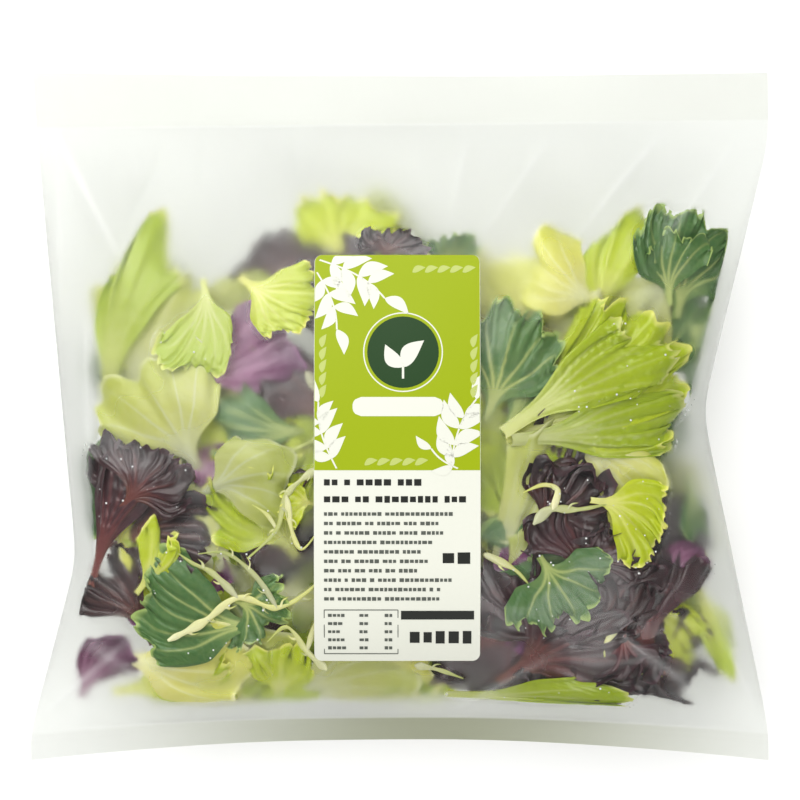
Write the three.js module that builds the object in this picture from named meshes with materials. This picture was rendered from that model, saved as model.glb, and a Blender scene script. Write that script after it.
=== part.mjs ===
// A sealed pillow bag of salad leaves, lying on its back with its label up.
// Millimetres, +Z up, header towards +Y. The origin is on the floor, under the middle of the bag.
import * as THREE from "three";

// Driving dimensions of the flat bag
const FLAT_WIDTH = 300;
const LENGTH = 280;
const FILM_PAIR = 0.8; // two films welded together, drawn thicker than the real 0.1

// The welded bands: where their inner lines and free edges lie across the bag
const HEADER_SEAM = { y: 118.5, slant: 1.6, rise: 0 };
const HEADER_EDGE = { y: LENGTH / 2, slant: 0, rise: -1.6 };
const FOOT_SEAM = { y: -128.5, slant: 0, rise: 6.5 };
const FOOT_EDGE = { y: -LENGTH / 2, slant: 0, rise: 8.3 };

// The filled body: how high its seams lie, and how far its two films bulge from there
const HEADER_HEIGHT = 23;
const FOOT_HEIGHT = 27;
const FRONT_RISE = 39;
const BACK_DROP = 36;
const FULLEST = 0.4; // share of the way from the foot seam to the header seam
const SIDE_ROUNDNESS = { middle: 0.5, seam: 0.8 }; // exponent of the cross-section: 0.5 is an ellipse's

// Each side is drawn in by the bulge, along two straight runs that meet at a waist
const LEFT_SIDE = { waist: -58.5, inset: 18.5, top: 140, bottom: -129 };
const RIGHT_SIDE = { waist: 2.5, inset: 27, top: 112, bottom: -129 };
const SIDE_SOFTNESS = 0.07;

// The bands sag a little from their seams, and ripple
const BAND_SAG = { header: 3.5, foot: 6 };
const BAND_RIPPLE = { height: 1.3, waves: 2.6 };

// Lumps where leaves press against the film
const LUMP_HEIGHT = 2.4;

// Creases in the front film: a ridge from one point to another, by its height and half-width
const FRONT_FOLDS = [
  { from: [-141, 117], to: [-108, 55], height: 6.0, spread: 5.6 },
  { from: [-139, 112], to: [-137, 20], height: 3.0, spread: 4.5 },
  { from: [-92, 116], to: [-112, 70], height: -2.6, spread: 7 },
  { from: [28, 117], to: [20, 78], height: 2.4, spread: 5.5 },
  { from: [64, 118], to: [30, 68], height: 2.8, spread: 5.6 },
  { from: [108, 118], to: [66, 66], height: 3.0, spread: 5.6 },
  { from: [140, 116], to: [98, 58], height: 2.8, spread: 5.6 },
  { from: [146, 98], to: [128, 10], height: 2.4, spread: 5.6 },
  { from: [-127, 40], to: [-124, -62], height: 2.6, spread: 5.6 },
  { from: [-146, -122], to: [-104, -86], height: 4.4, spread: 5.6 },
  { from: [-128, -92], to: [-96, -108], height: 2.4, spread: 5.6 },
  { from: [20, -120], to: [64, -94], height: 3.2, spread: 5.6 },
  { from: [88, -88], to: [122, -112], height: 3.8, spread: 5.6 },
  { from: [146, -122], to: [118, -60], height: 3.2, spread: 5.6 },
];

// Creases in the back film, seen only from below and the sides
const BACK_FOLDS = [
  { from: [-140, 116], to: [-96, 60], height: 4.5, spread: 5 },
  { from: [138, 116], to: [92, 56], height: 4.5, spread: 5 },
  { from: [-30, 117], to: [-42, 78], height: 2.5, spread: 6 },
  { from: [-144, -122], to: [-96, -88], height: 4.5, spread: 5 },
  { from: [144, -122], to: [98, -84], height: 4.5, spread: 5 },
];

// The label, stuck to the front film
const LABEL = { width: 66, length: 162, corner: 3, thick: 0.5, gap: 0.4 };
const LABEL_AT = { x: -1.1, y: -16.6 };
const LABEL_CALM = 14; // how far round the label it holds the film smooth

// Facets: steps across and along each film, and along the label
const STEPS = { across: 44, header: 3, body: 31, foot: 2 };
const LABEL_STEPS = { across: 8, corner: 3, along: 18 };

function softMin(a, b, softness) {
  const low = Math.min(a, b);
  return low - softness * Math.log(Math.exp((low - a) / softness) + Math.exp((low - b) / softness));
}

function softPositive(a, softness) {
  return softness * Math.log(1 + Math.exp(a / softness));
}

function smoothStep(a) {
  const t = Math.min(1, Math.max(0, a));
  return t * t * (3 - 2 * t);
}

// How far a side is drawn in from the flat bag's edge at height y in the plan
function inset(side, y) {
  const above = (side.top - y) / (side.top - side.waist);
  const below = (y - side.bottom) / (side.waist - side.bottom);
  return side.inset * softPositive(softMin(above, below, SIDE_SOFTNESS), SIDE_SOFTNESS / 2);
}

function lineAcross(line, s) {
  return line.y + line.slant * s + line.rise * (1 - s * s);
}

// The bulge's share of its full height, t of the way from the foot seam to the header seam
function along(t) {
  if (t <= 0 || t >= 1) return 0;
  if (t < FULLEST) return (1 - (1 - t / FULLEST) ** 3) ** 0.8;
  return (1 - ((t - FULLEST) / (1 - FULLEST)) ** 2.6) ** 0.9;
}

// The same across the bag, where the sides are round in the middle and sharp at the seams
function across(s, t) {
  const nearSeam = Math.abs(2 * t - 1) ** 3;
  const power = SIDE_ROUNDNESS.middle + (SIDE_ROUNDNESS.seam - SIDE_ROUNDNESS.middle) * nearSeam;
  return Math.max(0, 1 - Math.abs(s) ** 2.6) ** power;
}

// 0 on the label, rising to 1 away from it
function awayFromLabel(x, y) {
  const dx = Math.max(0, Math.abs(x - LABEL_AT.x) - LABEL.width / 2);
  const dy = Math.max(0, Math.abs(y - LABEL_AT.y) - LABEL.length / 2);
  return smoothStep(Math.hypot(dx, dy) / LABEL_CALM);
}

function lumps(x, y, turn) {
  const a = Math.sin(x / 13 + 1.4 * Math.sin(y / 21 + turn)) * Math.cos(y / 15 + turn);
  const b = Math.sin((x + y) / 9.5 + turn) * Math.sin((x - 0.7 * y) / 12 + 2 * turn);
  return LUMP_HEIGHT * (0.65 * a + 0.35 * b);
}

function foldHeight(folds, x, y) {
  let height = 0;
  for (const fold of folds) {
    const run = [fold.to[0] - fold.from[0], fold.to[1] - fold.from[1]];
    const length = Math.hypot(run[0], run[1]);
    const off = [x - fold.from[0], y - fold.from[1]];
    const share = (off[0] * run[0] + off[1] * run[1]) / length ** 2;
    if (share <= 0 || share >= 1) continue;
    const aside = (off[0] * run[1] - off[1] * run[0]) / length;
    const taper = Math.sin(Math.PI * share ** 0.6);
    height += fold.height * taper * Math.exp(-((aside / fold.spread) ** 2));
  }
  return height;
}

// The height of the sheet half-way between the two films
function middleHeight(s, t) {
  const share = Math.min(1, Math.max(0, t));
  const ripple = Math.sin(Math.PI * BAND_RIPPLE.waves * (s + 0.3)) * (1 - s * s);
  const nearSeam = Math.abs(2 * share - 1) ** 6;
  const seam = FOOT_HEIGHT + (HEADER_HEIGHT - FOOT_HEIGHT) * share + BAND_RIPPLE.height * ripple * nearSeam;
  if (t > 1) return seam - BAND_SAG.header * (t - 1) * (0.4 + 0.6 * Math.abs(s) ** 3);
  if (t < 0) return seam + BAND_SAG.foot * t * (1 - 0.5 * s * s);
  return seam;
}

// The bag's left and right sides at height y in the plan
function sides(y) {
  return [-FLAT_WIDTH / 2 + inset(LEFT_SIDE, y), FLAT_WIDTH / 2 - inset(RIGHT_SIDE, y)];
}

// A point of the bag. s is -1 at the left side and 1 at the right. t is 0 at the foot seam and 1 at the
// header seam, with the foot's free edge at -1 and the header's at 2.
function bagPoint(s, t, front) {
  const foot = lineAcross(FOOT_SEAM, s);
  const head = lineAcross(HEADER_SEAM, s);
  let y = foot + (head - foot) * t;
  if (t > 1) y = head + (lineAcross(HEADER_EDGE, s) - head) * (t - 1);
  if (t < 0) y = foot + (foot - lineAcross(FOOT_EDGE, s)) * t;
  const [left, right] = sides(y);
  const x = left + ((right - left) * (s + 1)) / 2;
  const bulge = along(t) * across(s, t);
  const calm = awayFromLabel(x, y);
  const middle = middleHeight(s, t);
  const swell = Math.min(1, 3 * bulge);
  if (front) {
    const relief = calm * swell * (lumps(x, y, 0.6) + foldHeight(FRONT_FOLDS, x, y));
    return [x, y, middle + FILM_PAIR / 2 + Math.max(0, FRONT_RISE * bulge + relief)];
  }
  const relief = swell * (lumps(x, y, 2.1) - foldHeight(BACK_FOLDS, x, y));
  return [x, y, Math.max(0, middle - FILM_PAIR / 2 + Math.min(0, relief - BACK_DROP * bulge))];
}

// A closed solid between two grids of points that have the same rows and columns
function solidBetween(upper, lower) {
  const rows = upper.length;
  const columns = upper[0].length;
  const points = [...upper.flat(), ...lower.flat()];
  const faces = [];
  const at = (layer, r, c) => layer * rows * columns + r * columns + c;
  const quad = (a, b, c, d) => faces.push(a, b, c, a, c, d);
  for (let r = 0; r + 1 < rows; r++) {
    for (let c = 0; c + 1 < columns; c++) {
      quad(at(0, r, c), at(0, r, c + 1), at(0, r + 1, c + 1), at(0, r + 1, c));
      quad(at(1, r, c), at(1, r + 1, c), at(1, r + 1, c + 1), at(1, r, c + 1));
    }
    quad(at(0, r, 0), at(0, r + 1, 0), at(1, r + 1, 0), at(1, r, 0));
    quad(at(0, r + 1, columns - 1), at(0, r, columns - 1), at(1, r, columns - 1), at(1, r + 1, columns - 1));
  }
  for (let c = 0; c + 1 < columns; c++) {
    quad(at(0, 0, c + 1), at(0, 0, c), at(1, 0, c), at(1, 0, c + 1));
    quad(at(0, rows - 1, c), at(0, rows - 1, c + 1), at(1, rows - 1, c + 1), at(1, rows - 1, c));
  }
  const geometry = new THREE.BufferGeometry();
  geometry.setAttribute("position", new THREE.Float32BufferAttribute(points.flat(), 3));
  geometry.setIndex(faces);
  geometry.computeVertexNormals();
  return geometry;
}

// Steps from 0 to 1 that lie closer together towards both ends
function endwise(count) {
  return Array.from({ length: count + 1 }, (_, i) => {
    const even = i / count;
    return 0.5 * even + 0.25 * (1 - Math.cos(Math.PI * even));
  });
}

function evenly(count) {
  return Array.from({ length: count + 1 }, (_, i) => i / count);
}

function bag() {
  const rows = [
    ...evenly(STEPS.foot).map((t) => t - 1),
    ...endwise(STEPS.body).slice(1),
    ...evenly(STEPS.header).slice(1).map((t) => t + 1),
  ];
  const columns = endwise(STEPS.across).map((s) => 2 * s - 1);
  const film = (front) => rows.map((t) => columns.map((s) => bagPoint(s, t, front)));
  return solidBetween(film(true), film(false));
}

// The front film's height over a point of the plan, between the seams
function frontHeight(x, y) {
  const [left, right] = sides(y);
  const s = (2 * (x - left)) / (right - left) - 1;
  const foot = lineAcross(FOOT_SEAM, s);
  const t = (y - foot) / (lineAcross(HEADER_SEAM, s) - foot);
  return bagPoint(s, t, true)[2];
}

function label() {
  const half = LABEL.length / 2;
  const corner = evenly(LABEL_STEPS.corner).map((a) => LABEL.corner * (1 - Math.cos((a * Math.PI) / 2)));
  const straight = evenly(LABEL_STEPS.along)
    .slice(1, -1)
    .map((a) => -half + LABEL.corner + a * (LABEL.length - 2 * LABEL.corner));
  const lengthwise = [
    ...corner.map((d) => d - half),
    ...straight,
    ...corner.map((d) => half - d).reverse(),
  ];
  const layer = (lift) =>
    lengthwise.map((v) => {
      const intoCorner = Math.max(0, Math.abs(v) - (half - LABEL.corner));
      const cut = LABEL.corner - Math.sqrt(Math.max(0, LABEL.corner ** 2 - intoCorner ** 2));
      const halfWidth = LABEL.width / 2 - cut;
      return evenly(LABEL_STEPS.across).map((a) => {
        const x = LABEL_AT.x + (2 * a - 1) * halfWidth;
        const y = LABEL_AT.y + v;
        return [x, y, frontHeight(x, y) + lift];
      });
    });
  return solidBetween(layer(LABEL.gap + LABEL.thick), layer(LABEL.gap));
}

const filmMaterial = new THREE.MeshStandardMaterial({ color: 0xc4cf9c, roughness: 0.35, metalness: 0 });
const labelMaterial = new THREE.MeshStandardMaterial({ color: 0xeef1e8, roughness: 0.45, metalness: 0 });

function named(name, geometry, material) {
  const mesh = new THREE.Mesh(geometry, material);
  mesh.name = name;
  return mesh;
}

const salad = new THREE.Group();
salad.add(named("bag", bag(), filmMaterial));
salad.add(named("label", label(), labelMaterial));

export default salad;
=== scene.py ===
import math
from collections import namedtuple

import bpy
import numpy as np
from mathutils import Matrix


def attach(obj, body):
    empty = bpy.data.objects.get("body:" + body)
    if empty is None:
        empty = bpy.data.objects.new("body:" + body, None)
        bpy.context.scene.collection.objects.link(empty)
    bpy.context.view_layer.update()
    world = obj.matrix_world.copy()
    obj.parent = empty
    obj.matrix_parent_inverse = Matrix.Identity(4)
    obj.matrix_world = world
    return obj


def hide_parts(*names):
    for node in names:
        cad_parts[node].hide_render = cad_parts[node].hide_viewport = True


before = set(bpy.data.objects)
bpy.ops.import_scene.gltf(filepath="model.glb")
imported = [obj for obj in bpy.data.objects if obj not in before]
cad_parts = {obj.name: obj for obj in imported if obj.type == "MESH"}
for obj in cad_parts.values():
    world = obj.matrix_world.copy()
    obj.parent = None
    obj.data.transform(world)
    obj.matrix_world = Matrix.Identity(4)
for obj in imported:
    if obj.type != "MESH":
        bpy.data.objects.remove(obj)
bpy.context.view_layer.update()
scene = bpy.context.scene

MM = 0.001

# The bag, by the same sizes as its solid. A line's slant and rise are how its ends and middle depart from y.
FLAT_WIDTH = 300.0
LENGTH = 280.0
Line = namedtuple("Line", "y slant rise")
HEADER_SEAM = Line(118.5, 1.6, 0.0)
HEADER_EDGE = Line(LENGTH / 2, 0.0, -1.6)
FOOT_SEAM = Line(-128.5, 0.0, 6.5)
FOOT_EDGE = Line(-LENGTH / 2, 0.0, 8.3)
HEADER_HEIGHT = 23.0
FOOT_HEIGHT = 27.0
FRONT_RISE = 39.0
BACK_DROP = 36.0
FULLEST = 0.4
ROUNDNESS_MIDDLE = 0.5
ROUNDNESS_SEAM = 0.8
Side = namedtuple("Side", "waist inset top bottom")
LEFT_SIDE = Side(-58.5, 18.5, 140.0, -129.0)
RIGHT_SIDE = Side(2.5, 27.0, 112.0, -129.0)
SIDE_SOFTNESS = 0.07
HEADER_SAG = 3.5
FOOT_SAG = 6.0
RIPPLE_HEIGHT = 1.3
RIPPLE_WAVES = 2.6
LUMP_HEIGHT = 2.4
LABEL_WIDTH = 66.0
LABEL_LENGTH = 162.0
LABEL_CORNER = 3.0
LABEL_X = -1.1
LABEL_Y = -16.6
LABEL_CALM = 14.0  # how far round the label the film stays smooth

# The film itself
FILM_THICK = 0.12
FILM_GAP = 0.05  # from the middle sheet to each film, where the two are welded
Crease = namedtuple("Crease", "start end height width")
FRONT_CREASES = [
    Crease((-141, 117), (-108, 55), 4.6, 4.0),
    Crease((-139, 112), (-137, 20), 2.6, 2.6),
    Crease((-92, 116), (-112, 70), -2.2, 4.5),
    Crease((28, 117), (20, 78), 2.0, 2.6),
    Crease((64, 118), (30, 68), 2.4, 2.4),
    Crease((108, 118), (66, 66), 2.8, 2.4),
    Crease((140, 116), (98, 58), 2.6, 2.6),
    Crease((146, 98), (128, 10), 2.2, 2.2),
    Crease((-127, 40), (-124, -62), 2.4, 2.0),
    Crease((-146, -122), (-104, -86), 4.2, 2.2),
    Crease((-128, -92), (-96, -108), 2.6, 1.8),
    Crease((20, -120), (64, -94), 3.0, 1.9),
    Crease((88, -88), (122, -112), 3.8, 1.9),
    Crease((146, -122), (118, -60), 3.0, 2.4),
]
BACK_CREASES = [
    Crease((-140, 116), (-96, 60), 4.0, 3.2),
    Crease((138, 116), (92, 56), 4.0, 3.2),
    Crease((-30, 117), (-42, 78), 2.3, 3.6),
    Crease((-144, -122), (-96, -88), 4.0, 3.2),
    Crease((144, -122), (98, -84), 4.0, 3.2),
]
CREASE_EDGE = 1.8  # how round the top of a crease is
GATHERS = 34  # short creases that run in from the two seams
HEADER_BAND = 21.5  # widths of the welded bands
FOOT_BAND = 11.5
Ridge = namedtuple("Ridge", "place width height")
WELD_RIDGES = [Ridge(1.2, 0.7, 0.22), Ridge(3.4, 0.6, 0.12)]  # places from the inner line of a band
DEEPEST = 30.0  # gap under the film beyond which nothing more changes
THIN_EDGE = 0.15  # what is left of the film's thickness along its free edges
SAG = 1.6  # how far the front film sags where nothing holds it up
SAG_GAPS = (3.0, 15.0)  # gaps between which it starts to sag and sags in full

# How the film blurs (haze) and whitens (veil) what is behind it, and how much painted shade darkens its
# welded bands, from 0 to 1
HAZE_GAPS = (1.5, 11.5)  # gaps between which the blur grows
CLOSE_HAZE = 0.12
FAR_HAZE = 0.58
FAR_VEIL = 0.05
CREASE_PAINTED_HIGHLIGHT = 0.05  # painted highlight along creases, for each mm that a crease stands up
WELD_HAZE = 0.58
WELD_VEIL = 0.3
# Painted shade: a grey-olive tint on the welded bands in place of the shadow on them, strongest in the
# middle of the foot band
FOOT_PAINTED_SHADE = 0.75  # in the middle of the foot band
HEADER_PAINTED_SHADE = 0.12


# Small sums

def soft_min(a, b, softness):
    low = np.minimum(a, b)
    return low - softness * np.log(np.exp((low - a) / softness) + np.exp((low - b) / softness))


def soft_positive(a, softness):
    return softness * np.logaddexp(0.0, a / softness)


def smooth_step(a):
    t = np.clip(a, 0.0, 1.0)
    return t * t * (3 - 2 * t)


def step_between(a, low, high):
    return smooth_step((a - low) / (high - low))


def mix(a, b, share):
    return a + (b - a) * share


def blurred(grid, sigma):
    """A grid smoothed by a bell of that width in cells, its edges repeated"""
    reach = int(3 * sigma) + 1
    bell = np.exp(-0.5 * (np.arange(-reach, reach + 1) / sigma) ** 2)
    bell /= bell.sum()
    for axis in (0, 1):
        wide = [(reach, reach) if a == axis else (0, 0) for a in (0, 1)]
        padded = np.pad(grid, wide, mode="edge")
        grid = np.apply_along_axis(lambda row: np.convolve(row, bell, mode="valid"), axis, padded)
    return grid


# The bag's form. s is -1 at the left side and 1 at the right. t is 0 at the foot seam and 1 at the
# header seam, with the foot's free edge at -1 and the header's at 2.

def line_y(line, s):
    return line.y + line.slant * s + line.rise * (1 - s * s)


def inset(side, y):
    above = (side.top - y) / (side.top - side.waist)
    below = (y - side.bottom) / (side.waist - side.bottom)
    return side.inset * soft_positive(soft_min(above, below, SIDE_SOFTNESS), SIDE_SOFTNESS / 2)


def sides(y):
    return -FLAT_WIDTH / 2 + inset(LEFT_SIDE, y), FLAT_WIDTH / 2 - inset(RIGHT_SIDE, y)


def bulge(s, t):
    low = (1 - (1 - np.clip(t / FULLEST, 0, 1)) ** 3) ** 0.8
    high = (1 - np.clip((t - FULLEST) / (1 - FULLEST), 0, 1) ** 2.6) ** 0.9
    along = np.where(t < FULLEST, low, high)
    power = mix(ROUNDNESS_MIDDLE, ROUNDNESS_SEAM, np.clip(np.abs(2 * t - 1), 0, 1) ** 3)
    return along * np.clip(1 - np.abs(s) ** 2.6, 0, 1) ** power


def away_from_label(x, y):
    dx = np.maximum(0, np.abs(x - LABEL_X) - LABEL_WIDTH / 2)
    dy = np.maximum(0, np.abs(y - LABEL_Y) - LABEL_LENGTH / 2)
    return smooth_step(np.hypot(dx, dy) / LABEL_CALM)


def lumps(x, y, turn):
    a = np.sin(x / 13 + 1.4 * np.sin(y / 21 + turn)) * np.cos(y / 15 + turn)
    b = np.sin((x + y) / 9.5 + turn) * np.sin((x - 0.7 * y) / 12 + 2 * turn)
    return LUMP_HEIGHT * (0.65 * a + 0.35 * b)


def crease_height(creases, x, y, width=None):
    """How far creases lift the film, each as wide as it says or all of one width"""
    height = np.zeros(np.broadcast(x, y).shape)
    for crease in creases:
        run = np.subtract(crease.end, crease.start)
        span = math.hypot(*run)
        off_x = x - crease.start[0]
        off_y = y - crease.start[1]
        share = np.clip((off_x * run[0] + off_y * run[1]) / span**2, 0, 1)
        aside = (off_x * run[1] - off_y * run[0]) / span
        taper = np.sin(np.pi * share**0.6)
        slope = np.exp(-(np.hypot(aside, CREASE_EDGE) - CREASE_EDGE) / (width or crease.width))
        height += crease.height * taper * slope
    return height


def middle_height(s, t):
    share = np.clip(t, 0, 1)
    ripple = np.sin(np.pi * RIPPLE_WAVES * (s + 0.3)) * (1 - s * s)
    seam = mix(FOOT_HEIGHT, HEADER_HEIGHT, share) + RIPPLE_HEIGHT * ripple * np.abs(2 * share - 1) ** 6
    header = HEADER_SAG * np.clip(t - 1, 0, 1) * (0.4 + 0.6 * np.abs(s) ** 3)
    foot = FOOT_SAG * np.clip(t, -1, 0) * (1 - 0.5 * s * s)
    return seam - header + foot


def plan(s, t):
    """Where a point of the bag lies in the plan"""
    foot = line_y(FOOT_SEAM, s)
    head = line_y(HEADER_SEAM, s)
    y = foot + (head - foot) * np.clip(t, 0, 1)
    y += (line_y(HEADER_EDGE, s) - head) * np.clip(t - 1, 0, 1)
    y += (foot - line_y(FOOT_EDGE, s)) * np.clip(t, -1, 0)
    left, right = sides(y)
    return left + (right - left) * (s + 1) / 2, y


def bag_coordinates(x, y):
    """The s and t of points in the plan, inside the seams"""
    left, right = sides(y)
    s = 2 * (x - left) / (right - left) - 1
    foot = line_y(FOOT_SEAM, s)
    return s, (y - foot) / (line_y(HEADER_SEAM, s) - foot)


def front_height(s, t, x, y, creases=()):
    swell = bulge(s, t)
    relief = lumps(x, y, 0.6) + crease_height(creases, x, y)
    shaped = FRONT_RISE * swell + away_from_label(x, y) * np.minimum(1, 3 * swell) * relief
    return middle_height(s, t) + FILM_GAP + FILM_THICK + np.maximum(0, shaped)


def back_height(s, t, x, y, creases=()):
    swell = bulge(s, t)
    relief = lumps(x, y, 2.1) - crease_height(creases, x, y)
    shaped = np.minimum(1, 3 * swell) * relief - BACK_DROP * swell
    return np.maximum(FILM_GAP, middle_height(s, t) - FILM_GAP - FILM_THICK + np.minimum(0, shaped))


class HeightMap:
    """Heights over the plan, on cells of 1 mm"""

    def __init__(self, heights, corner):
        self.heights = heights
        self.corner = corner

    def at(self, x, y):
        column = np.clip(x - self.corner[0], 0, self.heights.shape[1] - 1.001)
        row = np.clip(y - self.corner[1], 0, self.heights.shape[0] - 1.001)
        c = column.astype(int)
        r = row.astype(int)
        u = column - c
        v = row - r
        near = mix(self.heights[r, c], self.heights[r, c + 1], u)
        far = mix(self.heights[r + 1, c], self.heights[r + 1, c + 1], u)
        return mix(near, far, v)


MAP_CORNER = (-FLAT_WIDTH / 2, -LENGTH / 2)
map_x, map_y = np.meshgrid(
    MAP_CORNER[0] + np.arange(int(FLAT_WIDTH) + 1),
    MAP_CORNER[1] + np.arange(int(LENGTH) + 1),
)
map_s, map_t = bag_coordinates(map_x, map_y)
front_map = HeightMap(front_height(map_s, map_t, map_x, map_y), MAP_CORNER)
back_map = HeightMap(back_height(map_s, map_t, map_x, map_y), MAP_CORNER)


# Meshes

def grid_faces(rows, columns, first=0, flip=False):
    r, c = np.meshgrid(np.arange(rows - 1), np.arange(columns - 1), indexing="ij")
    a = (first + r * columns + c).ravel()
    quads = np.stack([a, a + 1, a + columns + 1, a + columns], axis=1)
    return quads[:, ::-1] if flip else quads


def closed_faces(rows, columns):
    """Quads of a closed sheet: a top grid, a bottom grid below it, and the rim between them"""
    top = grid_faces(rows, columns)
    bottom = grid_faces(rows, columns, rows * columns, flip=True)
    index = np.arange(rows * columns).reshape(rows, columns)
    rim = np.concatenate([index[0], index[1:, -1], index[-1, -2::-1], index[-2:0:-1, 0]])
    after = np.roll(rim, -1)
    edge = np.stack([after, rim, rim + rows * columns, after + rows * columns], axis=1)
    return np.concatenate([top, bottom, edge])


Part = namedtuple("Part", "points faces values uv")


def closed_sheet(top, bottom, values, uv):
    """A Part from a top and a bottom grid of points, with each one's values and the uv of both"""
    return Part(
        np.concatenate([layer.reshape(-1, 3) for layer in (top, bottom)]),
        closed_faces(*top.shape[:2]),
        np.concatenate([layer.reshape(-1, 3) for layer in values]),
        np.tile(uv.reshape(-1, 2), (2, 1)),
    )


def normals(points):
    """Unit normals of a grid of points, out of the side from which its rows and columns turn left"""
    down = np.gradient(points, axis=0)
    along = np.gradient(points, axis=1)
    out = np.cross(along, down)
    return out / np.maximum(np.linalg.norm(out, axis=2, keepdims=True), 1e-9)


def thick_sheet(points, thick, values, uv):
    """A Part from a grid of points, thickened both ways along its normals"""
    half = normals(points) * (np.broadcast_to(thick, points.shape[:2]) / 2)[..., None]
    return closed_sheet(points + half, points - half, (values, values), uv)


def make_object(name, parts, materials, value_name, slots=None, sharp=75):
    """One object from Parts, in metres, with their values as a colour attribute"""
    starts = np.cumsum([0] + [len(part.points) for part in parts])
    points = np.concatenate([part.points for part in parts]) * MM
    faces = np.concatenate([part.faces + start for part, start in zip(parts, starts)])
    mesh = bpy.data.meshes.new(name)
    mesh.vertices.add(len(points))
    mesh.vertices.foreach_set("co", points.astype(np.float32).ravel())
    mesh.loops.add(faces.size)
    mesh.loops.foreach_set("vertex_index", faces.astype(np.int32).ravel())
    mesh.polygons.add(len(faces))
    mesh.polygons.foreach_set("loop_start", np.arange(0, faces.size, 4, dtype=np.int32))
    if slots is not None:
        counts = [len(part.faces) for part in parts]
        mesh.polygons.foreach_set("material_index", np.repeat(slots, counts).astype(np.int32))
    mesh.update(calc_edges=True)
    mesh.shade_smooth()
    mesh.set_sharp_from_angle(angle=math.radians(sharp))
    values = np.concatenate([part.values for part in parts])
    padded = np.ones((len(points), 4), np.float32)
    padded[:, : values.shape[1]] = values
    mesh.color_attributes.new(value_name, "FLOAT_COLOR", "POINT").data.foreach_set("color", padded.ravel())
    uv = np.concatenate([part.uv for part in parts]).astype(np.float32)
    mesh.uv_layers.new(name="sheet").uv.foreach_set("vector", uv[faces.ravel()].ravel())
    made = bpy.data.objects.new(name, mesh)
    scene.collection.objects.link(made)
    for material in materials:
        mesh.materials.append(material)
    return made


# Materials

def linear(colour):
    """A colour such as 0xb9cd1e as linear red, green, blue and 1"""
    parts = [(colour >> shift & 255) / 255 for shift in (16, 8, 0)]
    return [p / 12.92 if p <= 0.04045 else ((p + 0.055) / 1.055) ** 2.4 for p in parts] + [1.0]


class Material:
    """A material being built from shader nodes"""

    def __init__(self, name):
        self.material = bpy.data.materials.new(name)
        self.material.use_nodes = True
        self.tree = self.material.node_tree
        self.tree.nodes.clear()

    def add(self, kind, inputs=(), **settings):
        made = self.tree.nodes.new("ShaderNode" + kind)
        for name, value in settings.items():
            setattr(made, name, value)
        for name, value in dict(inputs).items():
            if isinstance(value, bpy.types.NodeSocket):
                self.tree.links.new(value, made.inputs[name])
            else:
                made.inputs[name].default_value = value
        return made

    def values(self, name):
        """The three numbers that a piece's points carry"""
        read = self.add("Attribute", attribute_name=name)
        return self.add("SeparateColor", {"Color": read.outputs["Color"]}).outputs

    def math(self, operation, *numbers):
        return self.add("Math", enumerate(numbers), operation=operation).outputs[0]

    def ramp(self, share, *stops):
        """A colour along stops, each a place from 0 to 1 and a colour: first, last and those between"""
        made = self.add("ValToRGB", {"Fac": share})
        elements = made.color_ramp.elements
        for place, colour in stops[2:]:
            elements.new(place).color = linear(colour)
        ends = (elements[0], elements[len(elements) - 1])
        for element, (place, colour) in zip(ends, stops):
            element.position = place
            element.color = linear(colour)
        return made.outputs["Color"]

    def map_range(self, value, limits, results):
        """A number between two results, by where value is between two limits"""
        inputs = {"Value": value, 1: limits[0], 2: limits[1], 3: results[0], 4: results[1]}
        return self.add("MapRange", inputs).outputs[0]

    def blend(self, share, a, b):
        return self.add("Mix", {0: share, 6: a, 7: b}, data_type="RGBA").outputs[2]

    def noise(self, where, scale, detail, **more):
        inputs = {"Vector": where, "Scale": scale, "Detail": detail, **more}
        return self.add("TexNoise", inputs).outputs["Fac"]

    def bump(self, height, strength, distance):
        inputs = {"Height": height, "Strength": strength, "Distance": distance}
        return self.add("Bump", inputs).outputs["Normal"]

    def recoloured(self, colour, **changes):
        return self.add("HueSaturation", {"Color": colour, **changes}).outputs[0]

    def surface(self, inputs):
        return self.add("BsdfPrincipled", inputs).outputs[0]

    def finish(self, shader):
        self.add("OutputMaterial", {"Surface": shader})
        return self.material


def film_material():
    """Frosted film: what touches it shows sharp and clear, what lies deeper is blurred and veiled"""
    made = Material("film_frosted")
    haze, veil, painted_shade = list(made.values("film"))[:3]
    where = made.add("TexCoord").outputs["Object"]
    uneven = made.math("MULTIPLY_ADD", made.noise(where, 45.0, 4.0), 0.3, 0.85)
    # Painted shade: the base colour turns grey-olive where the third film value is high, on the welded bands
    film = made.surface({
        "Base Color": made.blend(painted_shade, linear(0xF5F6F4), linear(0xB4B79C)),
        "Roughness": made.math("MULTIPLY", haze, uneven),
        "Transmission Weight": made.math("SUBTRACT", 1.0, made.math("MULTIPLY", veil, uneven)),
        "IOR": 1.25,
        "Normal": made.bump(made.noise(where, 900.0, 2.0), 0.12, 0.0001),
    })
    path = made.add("LightPath").outputs
    unseen = made.math("MAXIMUM", path["Is Shadow Ray"], path["Is Diffuse Ray"])
    clear = made.add("BsdfTransparent", {"Color": (0.96, 0.962, 0.956, 1)})
    both = made.add("MixShader", {0: unseen, 1: film, 2: clear.outputs[0]})
    return made.finish(both.outputs[0])


# Five colours (the fourth, edge, a painted rim highlight along the margin), the fineness and strength of the
# net of veins, the roughness, wet gloss and light let through
Look = namedtuple("Look", "base middle margin edge rib cells net rough wet through")


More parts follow.
